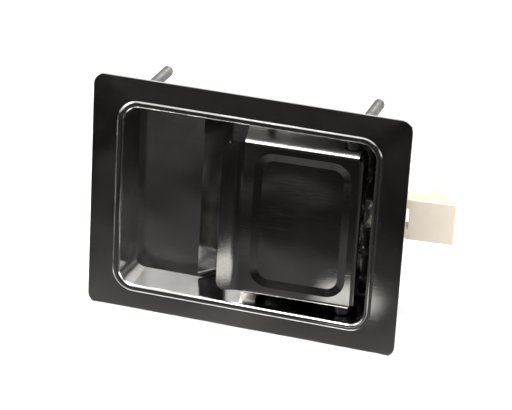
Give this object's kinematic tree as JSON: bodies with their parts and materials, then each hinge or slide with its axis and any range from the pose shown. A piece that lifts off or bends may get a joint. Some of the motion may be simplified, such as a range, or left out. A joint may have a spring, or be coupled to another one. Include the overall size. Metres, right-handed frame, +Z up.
{
  "type": "paddle latch",
  "caption": "Recessed slam latch for a cabinet or truck body door: a bevelled stainless pan, a pull paddle with a finger lip, and a sprung nylon bolt",
  "frame": {"origin": "Centre of the stud pattern, in the plane where the flange's outer edge meets the door's face.", "axes": "+X to the right seen from outside, towards the bolt's tip; +Y back into the door, along the studs; +Z up."},
  "size_m": [0.156, 0.0479, 0.108],
  "materials": {
    "polished_stainless": "bright polished stainless steel sheet with fine handling scratches",
    "threaded_steel": "plain stainless studs, rolled thread",
    "zinc_plate": "clear zinc plated pressed steel",
    "steel_pin": "turned steel",
    "spring_wire": "drawn spring wire, lightly oiled",
    "natural_nylon": "natural nylon, satin moulded",
    "black_acetal": "black acetal, satin",
    "black_rubber": "moulded rubber"
  },
  "bodies": {
    "pan": {"recess_pan": "polished_stainless", "mounting_studs": "threaded_steel", "pivot_rod": "steel_pin", "pivot_retainer": "spring_wire", "pivot_spacers": "black_acetal", "paddle_bumpers": "black_rubber", "paddle_spring": "spring_wire", "bolt_housing": "zinc_plate", "bolt_guide": "black_acetal", "housing_rivets": "steel_pin", "spring_bracket": "zinc_plate", "bracket_rivets": "steel_pin", "spring_guide_rod": "steel_pin", "bolt_spring": "spring_wire"},
    "paddle": {"paddle": "polished_stainless", "paddle_lever": "zinc_plate", "drive_pin": "steel_pin", "pivot_bushes": "natural_nylon"},
    "bolt": {"slam_bolt": "natural_nylon", "spring_seat": "steel_pin"}
  },
  "joints": [
    {"name": "paddle_hinge", "type": "hinge", "parent": "pan", "child": "paddle", "pos_m": [0.044, 0.0064, 0], "axis": [0, 0, 1], "range_deg": [0, 35], "stiffness_Nm_per_rad": 0.15, "deforming": ["paddle_spring"]},
    {"name": "bolt_slide", "type": "slide", "parent": "pan", "child": "bolt", "axis": [1, 0, 0], "range_m": [-0.0142, 0], "stiffness_N_per_m": 250, "deforming": ["bolt_spring"]}
  ],
  "couplings": [
    {"joint": "bolt_slide", "follows": "paddle_hinge", "m_per_rad": -0.02311}
  ]
}
